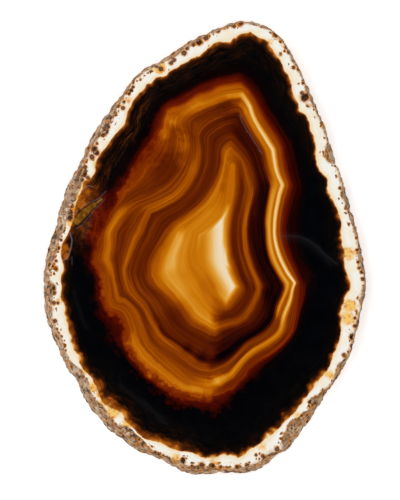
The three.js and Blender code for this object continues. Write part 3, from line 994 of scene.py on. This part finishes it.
# How strongly the fine layers show at each depth, and the depths of the smoky wisps in the black.
LAYER_STRENGTH = (
    (0, 0.0), (1.1, 0.01), (1.95, 0.1), (2.3, 0.24), (3.1, 0.24), (5.8, 0.26), (6.3, 0.2), (6.9, 0.13),
    (7.2, 0.08), (8, 0.05),
)
WISPS = ((0, 0.0), (1.08, 0.0), (1.2, 1.0), (1.75, 1.0), (1.95, 0.0))


def layered_lightness(tree, lightness, fine, depth, depth_here, axes, place, cloud):
    """The lightness with its fine layers, the wisps in the black and the cloudy patches of dye."""
    layered = plus(tree, lightness, times(tree, fine, zone(tree, depth, LAYER_STRENGTH)))
    wisps = plus(tree, times(tree, layers(tree, depth_here, axes, 14.0, 0.0034, 4.0), 6.0), 1.0)
    smoky = times(tree, lightness, calc(tree, "MAXIMUM", wisps, 0.0))
    in_black = zone(tree, depth, WISPS)
    layered = plus(tree, times(tree, layered, minus(tree, 1.0, in_black)), times(tree, smoky, in_black))
    uneven = plus(tree, times(tree, mottle(tree, place, 0.0014, 4.0, 0.6), 3.0), 1.0)
    return plus(tree, layered, times(tree, cloud, uneven))


def rind_colour(tree, depth, depth_here, place, axes):
    """The rind took no dye: milky white, warm in patches, and spotted with rust towards its edge."""
    patches = between(tree, mottle(tree, place, 0.0035, 3.0), -0.1, 0.22)
    cream = blend(tree, patches, linear(255, 253, 244), linear(254, 243, 218))
    warm = between(tree, mottle(tree, place, 0.0028, 4.0, 0.65), 0.1, 0.3, 0.0, 0.8)
    cream = blend(tree, warm, cream, linear(232, 178, 104))
    torn_edge = plus(tree, depth, times(tree, mottle(tree, place, 0.0011, 5.0, 0.65), 0.7))
    cream = blend(tree, between(tree, torn_edge, 0.0, 0.2, 0.8, 0.0), cream, linear(206, 164, 118))
    cream = blend(tree, between(tree, torn_edge, -0.1, 0.06, 0.8, 0.0), cream, linear(128, 86, 52))
    spots = rust_spots("rust spots on a face", "2D")
    fewer = between(tree, axes.outputs[0], 0.0, 0.025, 1.0, 0.5)
    for spacing, depth_reached, share in ((0.0017, 0.5, 0.5), (0.0009, 0.6, 0.44)):
        often = times(tree, between(tree, torn_edge, 0.0, depth_reached, share, 0.02), fewer)
        cream = spotted(tree, spots, place, spacing, often, cream)
    return blend(tree, between(tree, depth_here, 0.6, 0.95, 0.0, 0.7), cream, linear(251, 228, 184))


STAINED_DYE = ((0.2, (46, 14, 4)), (0.5, (112, 46, 8)), (0.8, (166, 86, 14)), (1.0, (176, 96, 16)))


def flawed(tree, colour, white, given, place):
    """A stone colour with its amber stains, its golden lens and its milky veils."""
    uneven = plus(tree, times(tree, mottle(tree, place, 0.0012, 4.0, 0.65), 2.6), 1.0)
    soaked = times(tree, given.outputs["Stain"], uneven)
    rusty = between(tree, mottle(tree, place, 0.0008, 3.0, 0.6), -0.02, 0.16)
    in_white = blend(tree, rusty, linear(255, 204, 98), linear(228, 136, 26))
    amber = blend(tree, white, tinted(tree, soaked, STAINED_DYE), in_white)
    colour = blend(tree, between(tree, soaked, 0.2, 0.75, 0.0, 0.92), colour, amber)
    golden = given.outputs["Golden"]
    streaky = between(tree, mottle(tree, place, 0.0009, 3.0), -0.15, 0.2)
    olive = blend(tree, streaky, linear(104, 60, 10), linear(152, 102, 28))
    colour = blend(tree, between(tree, golden, 0.05, 0.3, 0.0, 0.6), colour, linear(44, 20, 6))
    colour = blend(tree, between(tree, golden, 0.3, 0.7), colour, olive)
    return blend(tree, given.outputs["Veil"], colour, linear(190, 178, 182))


def pitted(tree, colour, pit, place):
    """A stone colour with its pits: a thin rust halo, a brown ring and a dark hole."""
    torn = plus(tree, pit, times(tree, mottle(tree, place, 0.0006, 3.0), 1.1))
    colour = blend(tree, between(tree, torn, -0.9, -0.1, 0.0, 0.75), colour, linear(220, 136, 28))
    colour = blend(tree, between(tree, torn, -0.15, 0.15, 0.0, 0.95), colour, linear(92, 42, 0))
    grit = between(tree, mottle(tree, place, 0.0007), -0.1, 0.15)
    lit_floor = times(tree, between(tree, torn, 0.3, 0.65), grit)
    return blend(tree, times(tree, lit_floor, 0.3), colour, linear(150, 92, 34))


FLAWS = ("Pit", "Veil", "Stain", "Golden", "Cloud")


def banded_stone():
    """Shader nodes for the inside of the nodule: rind, dyed bands and flaws, at a depth and a place."""
    tree = bpy.data.node_groups.new("banded stone", "ShaderNodeTree")
    for name in ("Depth",) + FLAWS:
        tree.interface.new_socket(name, in_out="INPUT", socket_type="NodeSocketFloat")
    tree.interface.new_socket("Place", in_out="INPUT", socket_type="NodeSocketVector")
    for name, kind in (("Color", "Color"), ("Height", "Float"), ("Dullness", "Float")):
        tree.interface.new_socket(name, in_out="OUTPUT", socket_type="NodeSocket" + kind)
    given = tree.nodes.new("NodeGroupInput")
    result = tree.nodes.new("NodeGroupOutput")
    depth, place = given.outputs["Depth"], given.outputs["Place"]
    axes = tree.nodes.new("ShaderNodeSeparateXYZ")
    tree.links.new(place, axes.inputs[0])
    heart = on_stone(HEART)
    across = minus(tree, axes.outputs[0], float(heart[0]))
    along = minus(tree, axes.outputs[1], float(heart[1]))
    turned = over(tree, calc(tree, "ARCTAN2", along, across), math.radians(1))
    round_it = calc(tree, "FLOORED_MODULO", turned, 360.0)
    depth_here = wavering_depth(tree, depth, place, round_it)

    # Fine layers inside each band, a tenth of a millimetre or less each.
    coarser = layers(tree, depth_here, axes, 9.0, 0.014, 2.0)
    finer = layers(tree, depth_here, axes, 30.0, 0.012, 3.0)
    fine = plus(tree, coarser, times(tree, finer, 0.6))
    lightness = dyed_lightness(tree, depth_here, place, round_it)
    lightness = with_heart(tree, lightness, depth_here, across, along)
    cloud = given.outputs["Cloud"]
    layered = layered_lightness(tree, lightness, fine, depth, depth_here, axes, place, cloud)
    smoke, red, amber = (tinted(tree, layered, c) for c in (SMOKE_COLOURS, RED_COLOURS, AMBER_COLOURS))
    dyed = blend(tree, between(tree, depth_here, 3.0, 3.7), red, amber)
    dyed = blend(tree, between(tree, depth_here, 1.55, 1.95), smoke, dyed)

    white = between(tree, depth_here, 0.88, 1.0, 1.0, 0.0)
    colour = blend(tree, white, dyed, rind_colour(tree, depth, depth_here, place, axes))
    colour = flawed(tree, colour, white, given, place)
    tree.links.new(pitted(tree, colour, given.outputs["Pit"], place), result.inputs["Color"])
    tree.links.new(fine, result.inputs["Height"])
    tree.links.new(times(tree, white, 0.4), result.inputs["Dullness"])
    return tree


AGATE_IOR = 1.54


def bare_surface(material):
    """A material's own tree, emptied, and a new surface in it."""
    material.use_nodes = True
    tree = material.node_tree
    tree.nodes.clear()
    output = tree.nodes.new("ShaderNodeOutputMaterial")
    surface = tree.nodes.new("ShaderNodeBsdfPrincipled")
    tree.links.new(surface.outputs[0], output.inputs[0])
    return tree, surface


def bumped(tree, surface, height, strength, distance):
    """Bumps on a surface, from their height as a value, and how far that value reaches in metres."""
    bump = tree.nodes.new("ShaderNodeBump")
    bump.inputs["Strength"].default_value = strength
    bump.inputs["Distance"].default_value = distance
    tree.links.new(height, bump.inputs["Height"])
    tree.links.new(bump.outputs[0], surface.inputs["Normal"])


def flat_finish(material, inside, gloss, dull, scratches):
    """One flat face's finish: the banded stone, with a roughness and a bump for how it was left."""
    tree, surface = bare_surface(material)
    surface.inputs["IOR"].default_value = AGATE_IOR
    place = tree.nodes.new("ShaderNodeTexCoord").outputs["Object"]
    stone_inside = tree.nodes.new("ShaderNodeGroup")
    stone_inside.node_tree = inside
    for name in ("Depth",) + FLAWS:
        value = tree.nodes.new("ShaderNodeAttribute")
        value.attribute_name = name.lower()
        tree.links.new(value.outputs["Fac"], stone_inside.inputs[name])
    tree.links.new(place, stone_inside.inputs["Place"])
    tree.links.new(stone_inside.outputs["Color"], surface.inputs["Base Color"])
    smears = times(tree, mottle(tree, place, 0.004, 4.0), gloss)
    rougher = times(tree, stone_inside.outputs["Dullness"], dull)
    rough = plus(tree, plus(tree, smears, gloss), rougher)
    tree.links.new(rough, surface.inputs["Roughness"])
    marks = times(tree, mottle(tree, place, 0.0004, 2.0), scratches)
    bumped(tree, surface, plus(tree, stone_inside.outputs["Height"], marks), 0.25, 0.00002)


inside = banded_stone()
flat_finish(polished, inside, gloss=0.12, dull=0.12, scratches=0.2)
flat_finish(sawn, inside, gloss=0.42, dull=0.15, scratches=4.0)


# The rind's skin: weathered grains of grey, tan and brown, darker on the right with painted shade, in flat
# flakes lower down, with painted highlights on the raised points of its fine grain and painted shade in
# its low points, rust flecks and spots, and dark brown painted shade in the hollows.
SKIN_GRAIN = 0.0009
BROWN_GRAINS = (
    (0.0, (54, 28, 8)), (0.16, (104, 58, 20)), (0.28, (180, 118, 54)), (0.48, (214, 158, 92)),
    (0.63, (192, 114, 40)), (0.76, (252, 232, 196)), (0.92, (136, 78, 28)),
)
GREY_GRAINS = (
    (0.0, (60, 36, 20)), (0.14, (114, 78, 52)), (0.28, (168, 134, 108)), (0.46, (204, 174, 146)),
    (0.62, (208, 140, 74)), (0.76, (248, 230, 206)), (0.92, (152, 88, 38)),
)
FLAKES = (
    (0.3, (70, 42, 24)), (0.4, (132, 94, 60)), (0.5, (206, 176, 144)), (0.57, (240, 216, 186)),
    (0.62, (190, 120, 54)), (0.72, (104, 68, 40)),
)


def rind_skin(material):
    """The rind's finish, each kind of weathering, painted shade and painted highlight laid over the one
    before.
    """
    tree, surface = bare_surface(material)
    surface.inputs["Specular IOR Level"].default_value = 0.15
    place = tree.nodes.new("ShaderNodeTexCoord").outputs["Object"]
    cells = tree.nodes.new("ShaderNodeTexVoronoi")
    cells.inputs["Scale"].default_value = 1 / SKIN_GRAIN
    tree.links.new(shifted(tree, place, 0.0009, 0.0011), cells.inputs["Vector"])
    chance = tree.nodes.new("ShaderNodeSeparateColor")
    tree.links.new(cells.outputs["Color"], chance.inputs[0])
    drift = times(tree, mottle(tree, place, 0.005, 3.0), 0.5)
    grain = plus(tree, chance.outputs[0], drift)
    brown, greyish = (tinted(tree, grain, grains) for grains in (BROWN_GRAINS, GREY_GRAINS))
    axes = tree.nodes.new("ShaderNodeSeparateXYZ")
    tree.links.new(place, axes.inputs[0])
    colour = blend(tree, between(tree, axes.outputs[0], -0.034, -0.018), greyish, brown)
    # Painted shade: the skin on the right-hand side, away from the light, is darkened.
    colour = blend(tree, between(tree, axes.outputs[0], 0.01, 0.03, 0.0, 0.4), colour, linear(64, 38, 20))
    flattened = tree.nodes.new("ShaderNodeVectorMath")
    flattened.operation = "MULTIPLY"
    flattened.inputs[1].default_value = (1.0, 1.0, 3.5)
    tree.links.new(place, flattened.inputs[0])
    layer = plus(tree, mottle(tree, flattened.outputs[0], 0.0032, 5.0, 0.65), 0.5)
    flakes = tinted(tree, layer, FLAKES)
    down_side = between(tree, axes.outputs[2], thickness * 0.1, thickness * 0.8, 0.6, 0.1)
    colour = blend(tree, down_side, colour, flakes)
    fine = mottle(tree, place, 0.00045, 4.0, 0.7)
    # Painted highlight: pale on the raised points of the fine grain. Painted shade: dark in its low
    # points.
    colour = blend(tree, between(tree, fine, 0.06, 0.22, 0.0, 0.75), colour, linear(252, 232, 204))
    colour = blend(tree, between(tree, fine, -0.24, -0.05, 0.75, 0.0), colour, linear(80, 46, 22))
    rust = mottle(tree, place, 0.0012, 4.0, 0.65)
    colour = blend(tree, between(tree, rust, 0.05, 0.16, 0.0, 0.7), colour, linear(204, 120, 46))
    hollows = mottle(tree, place, 0.0016, 5.0, 0.7)
    # Painted shade: dark brown in the hollows of the bump.
    colour = blend(tree, between(tree, hollows, -0.12, -0.03, 0.9, 0.0), colour, linear(60, 34, 14))
    colour = spotted(tree, rust_spots("rust spots all round", "3D"), place, 0.0014, 0.35, colour)
    pit = tree.nodes.new("ShaderNodeAttribute")
    pit.attribute_name = "pit"
    near_face = between(tree, axes.outputs[2], thickness * 0.6, thickness * 0.9, 3.0, 0.0)
    in_pit = minus(tree, pit.outputs["Fac"], near_face)
    colour = blend(tree, between(tree, in_pit, -0.2, 0.3, 0.0, 0.9), colour, linear(70, 42, 24))
    tree.links.new(colour, surface.inputs["Base Color"])
    tree.links.new(plus(tree, times(tree, fine, 0.4), 0.7), surface.inputs["Roughness"])
    bumped(tree, surface, plus(tree, hollows, times(tree, fine, 0.5)), 0.8, 0.0003)


rind_skin(skin)

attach(stone, "root")
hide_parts("agate_slice")


# The setting: a plain pale table top, soft light from low all round, and the camera straight above,
# with nothing bright overhead for the polish to reflect.
TABLE_REACH = 1.5
TABLE_GAP = 0.00005
SKY_STRENGTH = 0.35
# (height in the sky, brightness)
GLOW = ((0.0, 1.0), (0.78, 1.0), (0.9, 0.01), (1.0, 0.0))
CAMERA_AWAY = 2.0
SENSOR = 36.0
PHOTO_CENTRE = (200, 250)
PHOTO_HEIGHT = 500 / PIXELS_PER_METRE

table_mesh = bpy.data.meshes.new("table_top")
sides = ((-1, -1), (1, -1), (1, 1), (-1, 1))
sheet = [(x * TABLE_REACH, y * TABLE_REACH, -TABLE_GAP) for x, y in sides]
table_mesh.from_pydata(sheet, [], [(0, 1, 2, 3)])
table_top = bpy.data.objects.new("table_top", table_mesh)
bpy.context.scene.collection.objects.link(table_top)
pale = bpy.data.materials.new("pale table")
pale.use_nodes = True
for socket, value in (
    ("Base Color", grey(0.97)),
    ("Roughness", 0.9),
    ("Specular IOR Level", 0.0),
    ("Emission Color", grey(1.0)),
    ("Emission Strength", 0.32),
):
    pale.node_tree.nodes["Principled BSDF"].inputs[socket].default_value = value
table_mesh.materials.append(pale)

world = bpy.data.worlds.new("studio")
bpy.context.scene.world = world
world.use_nodes = True
sky = world.node_tree
direction = sky.nodes.new("ShaderNodeTexCoord").outputs["Generated"]
height = sky.nodes.new("ShaderNodeSeparateXYZ")
sky.links.new(direction, height.inputs[0])
glow = shade(sky, height.outputs[2], [(up, grey(brightness)) for up, brightness in GLOW])
background = sky.nodes["Background"]
sky.links.new(glow, background.inputs["Color"])
background.inputs["Strength"].default_value = SKY_STRENGTH

for name, place, power, size in (
    ("back left lamp", (-0.62, 0.48, 1.25), 5.9, 0.8),
    ("back right lamp", (0.62, 0.42, 1.25), 4.0, 0.8),
    ("front left lamp", (-0.58, -0.5, 1.25), 4.4, 0.8),
    ("front right lamp", (0.66, -0.42, 1.25), 4.4, 0.8),
):
    lamp = bpy.data.lights.new(name, "AREA")
    lamp.size = size
    lamp.energy = power
    stand = bpy.data.objects.new(name, lamp)
    stand.location = place
    stand.rotation_euler = (-Vector(place)).to_track_quat("-Z", "Y").to_euler()
    bpy.context.scene.collection.objects.link(stand)

lens = bpy.data.cameras.new("camera")
lens.sensor_width = SENSOR
lens.lens = SENSOR * CAMERA_AWAY / PHOTO_HEIGHT
camera = bpy.data.objects.new("camera", lens)
camera.location = (*on_stone(PHOTO_CENTRE), thickness + CAMERA_AWAY)
bpy.context.scene.collection.objects.link(camera)
bpy.context.scene.camera = camera
bpy.context.scene.view_settings.view_transform = "Standard"
bpy.context.scene.cycles.use_denoising = True
